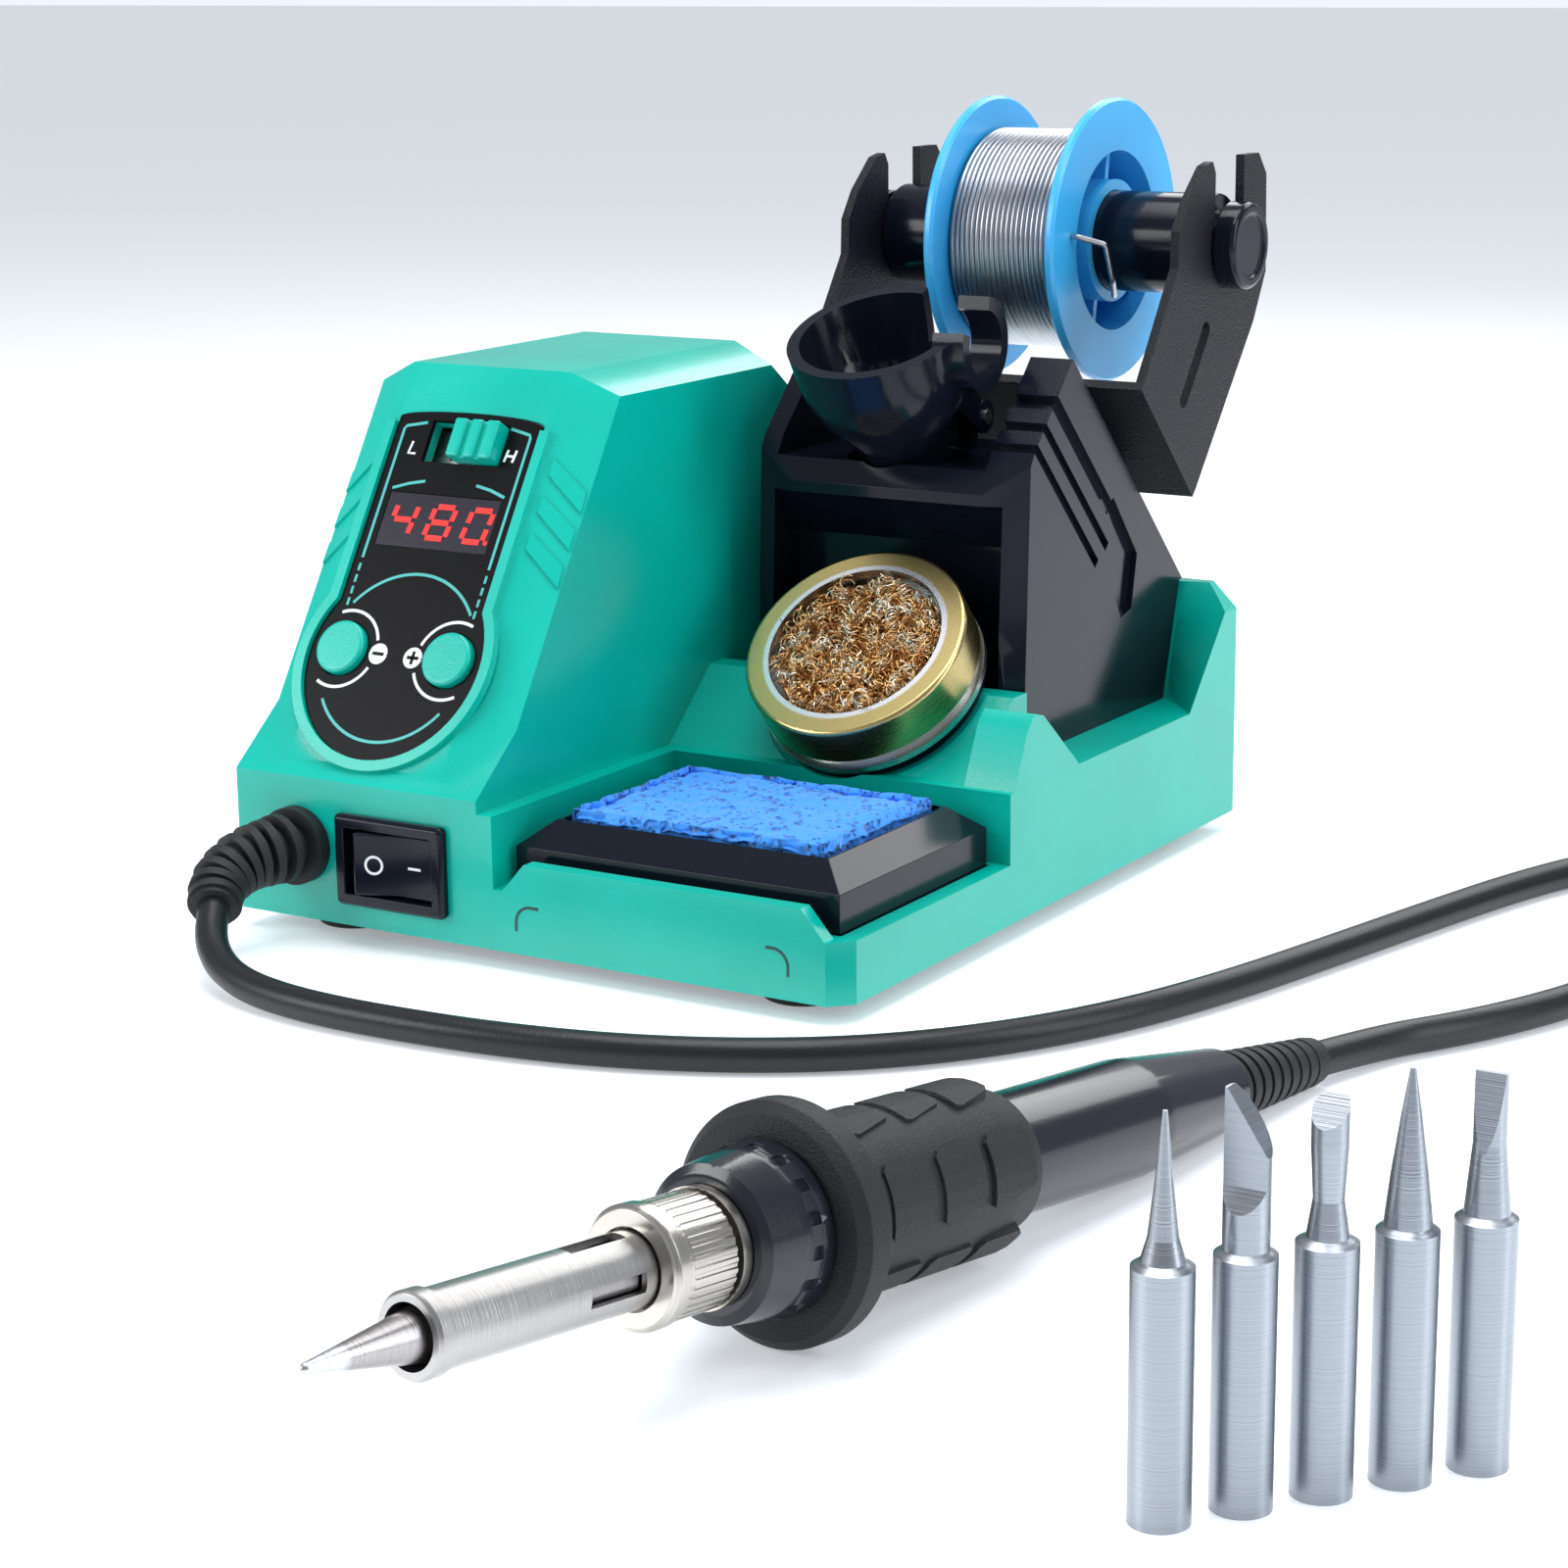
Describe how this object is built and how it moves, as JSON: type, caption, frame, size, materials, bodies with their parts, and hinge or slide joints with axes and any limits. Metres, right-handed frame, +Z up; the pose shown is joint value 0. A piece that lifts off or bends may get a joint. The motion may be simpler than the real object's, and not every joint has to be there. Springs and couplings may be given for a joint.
{
  "type": "soldering iron station",
  "caption": "Bench soldering station: control housing, iron with cord, hinged holder funnel, solder spool on a spindle, sponge tray, brass wool tin and spare tips.",
  "frame": {"origin": "centre of the footprint of everything but the cord, at the table surface", "axes": "+Y from the user towards the back of the station, +X to the user's right, +Z up"},
  "size_m": [0.264, 0.3335, 0.1255],
  "materials": {
    "teal_plastic": "glossy moulded ABS",
    "gloss_black": "polished moulded plastic",
    "black_plastic": "moulded plastic",
    "black_rubber": "matt rubber",
    "plated_steel": "zinc plated",
    "overlay_film": "printed polycarbonate film",
    "display_red": "tinted window",
    "board_green": "solder mask",
    "core_steel": "varnished laminations",
    "copper_wire": "enamelled copper",
    "blue_sponge": "open cellulose foam",
    "tin_plate": "rolled tinplate",
    "gold_lacquer": "gold lacquer",
    "brass_curls": "bright turnings",
    "black_powder_coat": "satin powder coat",
    "pale_blue_plastic": "translucent moulding",
    "solder_wire": "bright drawn wire",
    "plated_tip": "iron plated, tinned point",
    "brushed_stainless": "brushed tube",
    "nickel_plate": "bright nickel",
    "heater_ceramic": "fired alumina",
    "handle_black": "polished nylon",
    "grip_rubber": "matt silicone",
    "cord_pvc": "soft cable jacket"
  },
  "bodies": {
    "station": {"board_screws": "plated_steel", "bottom_cover": "black_plastic", "bottom_screws": "plated_steel", "bracket_screws": "plated_steel", "control_board": "board_green", "cord_coil": "cord_pvc", "cord_front": "cord_pvc", "cord_tail": "cord_pvc", "display_module": "display_red", "front_overlay": "overlay_film", "funnel_pin": "plated_steel", "holder_tower": "gloss_black", "housing_shell": "teal_plastic", "inlet_pins": "plated_steel", "inlet_screws": "plated_steel", "mains_inlet": "black_plastic", "rubber_feet": "black_rubber", "slide_pot": "plated_steel", "spool_bracket": "black_powder_coat", "station_boot": "black_rubber", "switch_bezel": "gloss_black", "tact_switches": "black_plastic", "tower_screws": "plated_steel", "transformer_core": "core_steel", "transformer_frame": "plated_steel", "transformer_screws": "plated_steel", "transformer_winding": "copper_wire"},
    "rocker": {"switch_rocker": "gloss_black"},
    "minus_key": {"minus_button": "teal_plastic"},
    "plus_key": {"plus_button": "teal_plastic"},
    "slider": {"slider_knob": "teal_plastic"},
    "funnel": {"iron_funnel": "gloss_black"},
    "spindle_rod": {"spindle": "gloss_black"},
    "spool_unit": {"spool": "pale_blue_plastic", "solder_winding": "solder_wire", "solder_tail": "solder_wire"},
    "tray": {"sponge_tray": "gloss_black"},
    "sponge_pad": {"sponge": "blue_sponge"},
    "tin": {"tin_base": "gloss_black", "tin_can": "tin_plate", "brass_wool": "brass_curls"},
    "tin_cap": {"tin_lid": "gold_lacquer"},
    "iron": {"iron_handle": "handle_black", "grip_sleeve": "grip_rubber", "threaded_collar": "nickel_plate", "heater_element": "heater_ceramic", "heater_socket": "black_plastic", "iron_board": "board_green", "iron_boot": "black_rubber"},
    "shroud": {"tip_shroud": "brushed_stainless"},
    "nut": {"knurled_nut": "nickel_plate"},
    "tip": {"soldering_tip": "plated_tip"},
    "needle_spare": {"needle_tip": "plated_tip"},
    "knife_spare": {"knife_tip": "plated_tip"},
    "bevel_spare": {"bevel_tip": "plated_tip"},
    "cone_spare": {"cone_tip": "plated_tip"},
    "chisel_spare": {"chisel_tip": "plated_tip"}
  },
  "joints": [
    {"name": "rocker_tilt", "type": "hinge", "parent": "station", "child": "rocker", "pos_m": [-0.0918, 0.0114, 0.014], "axis": [0, 0, 1], "range_deg": [-18, 0]},
    {"name": "minus_press", "type": "slide", "parent": "station", "child": "minus_key", "axis": [0, 0.8451, -0.5345], "range_m": [0, 0.0008], "stiffness_N_per_m": 900},
    {"name": "plus_press", "type": "slide", "parent": "station", "child": "plus_key", "axis": [0, 0.8451, -0.5345], "range_m": [0, 0.0008], "stiffness_N_per_m": 900},
    {"name": "slider_shift", "type": "slide", "parent": "station", "child": "slider", "axis": [-1, 0, 0], "range_m": [0, 0.006]},
    {"name": "funnel_tilt", "type": "hinge", "parent": "station", "child": "funnel", "pos_m": [-0.0471, 0.1039, 0.075], "axis": [1, 0, 0], "range_deg": [-15, 0]},
    {"name": "spindle_lift", "type": "slide", "parent": "station", "child": "spindle_rod", "axis": [0, 0, 1], "range_m": [0, 0.018]},
    {"name": "spool_spin", "type": "hinge", "parent": "spindle_rod", "child": "spool_unit", "pos_m": [-0.0483, 0.1425, 0.1012], "axis": [1, 0, 0], "continuous": true},
    {"name": "tray_lift", "type": "slide", "parent": "station", "child": "tray", "axis": [0, 0, 1], "range_m": [0, 0.0055]},
    {"name": "sponge_lift", "type": "slide", "parent": "tray", "child": "sponge_pad", "axis": [0, 0, 1], "range_m": [0, 0.007]},
    {"name": "tin_lift", "type": "slide", "parent": "station", "child": "tin", "axis": [0, -0.6561, 0.7547], "range_m": [0, 0.02]},
    {"name": "lid_lift", "type": "slide", "parent": "tin", "child": "tin_cap", "axis": [0, -0.6561, 0.7547], "range_m": [0, 0.008]},
    {"name": "iron_lift", "type": "slide", "parent": "station", "child": "iron", "axis": [0, 0, 1], "range_m": [0, 0.04]},
    {"name": "tip_slide", "type": "slide", "parent": "iron", "child": "tip", "axis": [-0.1385, -0.9858, 0.0952], "range_m": [0, 0.03]},
    {"name": "shroud_slide", "type": "slide", "parent": "iron", "child": "shroud", "axis": [-0.1385, -0.9858, 0.0952], "range_m": [0, 0.03]},
    {"name": "nut_turn", "type": "hinge", "parent": "shroud", "child": "nut", "pos_m": [0.0382, -0.11544, 0.01616], "axis": [-0.1385, -0.9858, 0.0952], "range_deg": [0, 360]},
    {"name": "needle_lift", "type": "slide", "parent": "station", "child": "needle_spare", "axis": [0, 0, 1], "range_m": [0, 0.03]},
    {"name": "knife_lift", "type": "slide", "parent": "station", "child": "knife_spare", "axis": [0, 0, 1], "range_m": [0, 0.03]},
    {"name": "bevel_lift", "type": "slide", "parent": "station", "child": "bevel_spare", "axis": [0, 0, 1], "range_m": [0, 0.03]},
    {"name": "cone_lift", "type": "slide", "parent": "station", "child": "cone_spare", "axis": [0, 0, 1], "range_m": [0, 0.03]},
    {"name": "chisel_lift", "type": "slide", "parent": "station", "child": "chisel_spare", "axis": [0, 0, 1], "range_m": [0, 0.03]}
  ]
}
